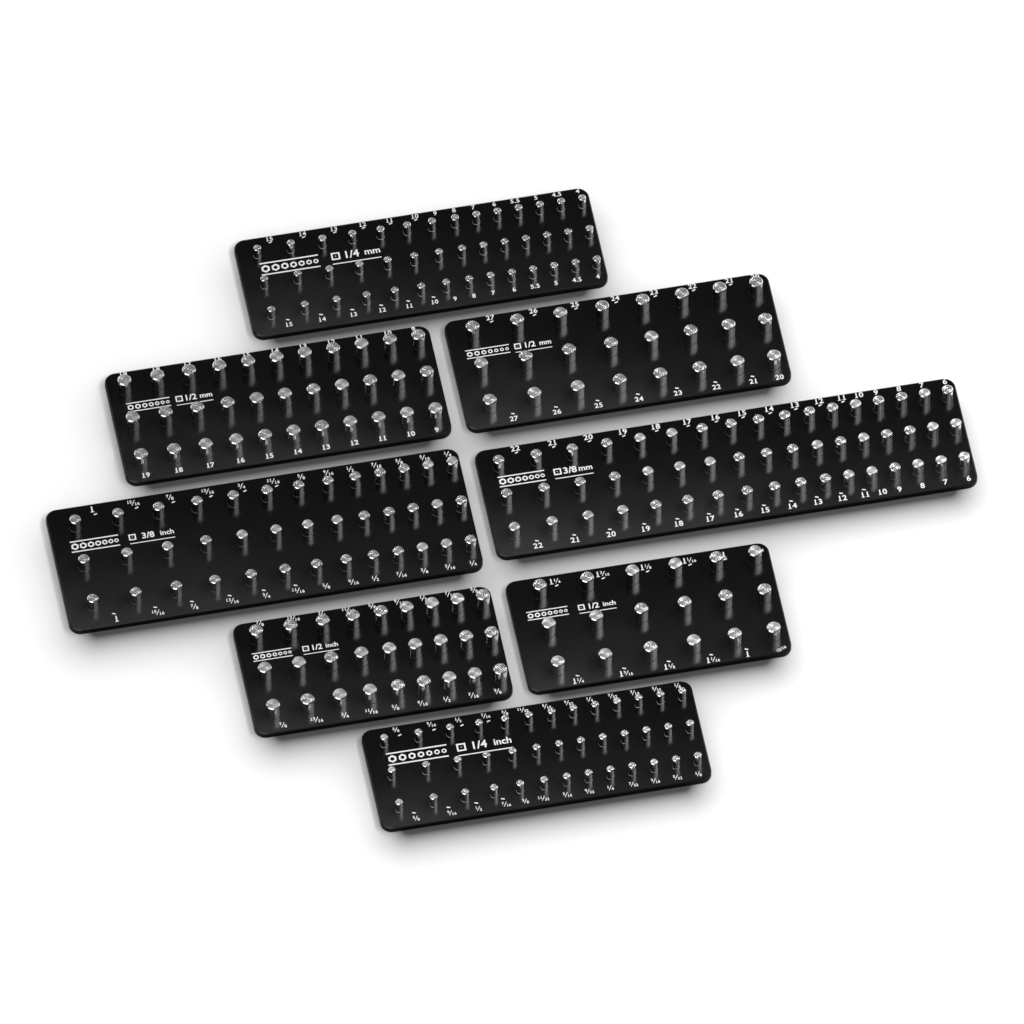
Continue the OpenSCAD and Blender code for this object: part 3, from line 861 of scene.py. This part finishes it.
# %% Lay the floor
bm = bmesh.new()
bmesh.ops.create_grid(bm, x_segments=1, y_segments=1, size=FLOOR_SIZE / 2)
bmesh.ops.translate(bm, vec=(0, 0, -FLOOR_DROP * MM), verts=bm.verts)
mesh = bpy.data.meshes.new("floor")
bm.to_mesh(mesh)
bm.free()
mesh.materials.append(floor_white)
floor = bpy.data.objects.new("floor", mesh)
bpy.context.scene.collection.objects.link(floor)
print("floor:", FLOOR_SIZE, "m square")

# %% [markdown]
# ## Lamps
# Bright metal shows what stands round it, so the lamps are large soft boxes with dark between
# them. A strong box at the right and a weaker one beside it show in the right sides of the posts,
# and again in the plates as a streak in front of each post. One high up makes the bright wedges on
# the ends of the posts, and a wide one at the left lights their chamfers. The camera looks down
# on the set, so everything flat mirrors the room behind it. The box there is large but dim: the
# ends of the posts turn grey with it, and the plates, which mirror little, stay black. Small lamps
# or a sun would leave only pinpoints of light on such smooth metal.

# %% Soft boxes
def softbox(name, azimuth, elevation, distance, width, height, power):
    """A rectangular lamp that looks at the set. Azimuth 0 is in front, 90 at the right."""
    a, e = math.radians(azimuth), math.radians(elevation)
    towards = Vector((math.sin(a) * math.cos(e), -math.cos(a) * math.cos(e), math.sin(e)))
    lamp = bpy.data.lights.new(name, "AREA")
    lamp.shape, lamp.size, lamp.size_y, lamp.energy = "RECTANGLE", width, height, power
    box = bpy.data.objects.new(name, lamp)
    box.location = distance * towards
    box.rotation_euler = towards.to_track_quat("Z", "Y").to_euler()
    box.visible_camera = False
    bpy.context.scene.collection.objects.link(box)


softbox("key_box", 85, 54.5, 2.0, 2.2, 0.4, 30)
softbox("side_box", 28, 55, 2.0, 1.0, 0.3, 8)
softbox("top_box", 0, 81, 2.0, 1.4, 0.7, 8)
softbox("left_box", -45, 32, 2.0, 2.6, 0.45, 10)
softbox("rear_box", 169, 57, 2.0, 2.8, 1.6, 2.8)

# %% [markdown]
# ## The room
# The room is dark, so that the plates stay black, with one exception: what sees it directly, and
# what mirrors its lowest few degrees, finds it as white as the floor that it meets.

# %% Room
HORIZON = 0.2
world = bpy.data.worlds.new("studio")
world.use_nodes = True
world.node_tree.nodes.clear()
bench = Wire(world.node_tree)
height = bench.node("SeparateXYZ", {}, {0: bench.node("TexCoord", output=0)}, output=2)
mirrored = bench.node("LightPath", output=3) + bench.node("LightPath", output=6)
low_down = bench.math("LESS_THAN", height, HORIZON)
white = bench.math("MAXIMUM", bench.node("LightPath"), mirrored * low_down)
dark_room = bench.node("Background", {}, {"Color": (0.02, 0.02, 0.02, 1)})
white_room = bench.node("Background", {}, {"Color": (1, 1, 1, 1)})
both = bench.node("MixShader", {}, {0: white, 1: dark_room, 2: white_room})
bench.node("OutputWorld", {}, {"Surface": both})
bpy.context.scene.world = world
print("nodes in the room:", len(bench.tree.nodes))

# %% [markdown]
# ## Camera
# The set is seen from the front, a little from the left, and from above. The sides of the trays
# stay parallel, which means a very long lens from far away. An orthographic camera would also do,
# but a lens of a metre looks the same and keeps a true place for the camera.

# %% Aim the camera
VIEW_AZIMUTH, VIEW_ELEVATION = -10.85, 54.5
LENS = 1000
PX_PER_MM = 1.2
FRAME_PX = 1024
SENSOR = 36
a, e = math.radians(VIEW_AZIMUTH), math.radians(VIEW_ELEVATION)
back = Vector((math.sin(a) * math.cos(e), -math.cos(a) * math.cos(e), math.sin(e)))
lens = bpy.data.cameras.new("camera")
lens.lens, lens.sensor_width, lens.clip_end = LENS, SENSOR, 100
camera = bpy.data.objects.new("camera", lens)
aim = Vector((-2.8, -10.8, 6.35)) * MM
camera.location = aim + back * (FRAME_PX / PX_PER_MM * LENS / SENSOR * MM)
camera.rotation_euler = back.to_track_quat("Z", "Y").to_euler()
bpy.context.scene.collection.objects.link(camera)
bpy.context.scene.camera = camera
bpy.context.scene.view_settings.view_transform = "Standard"
print("camera stands", round(camera.location.length, 2), "m away")
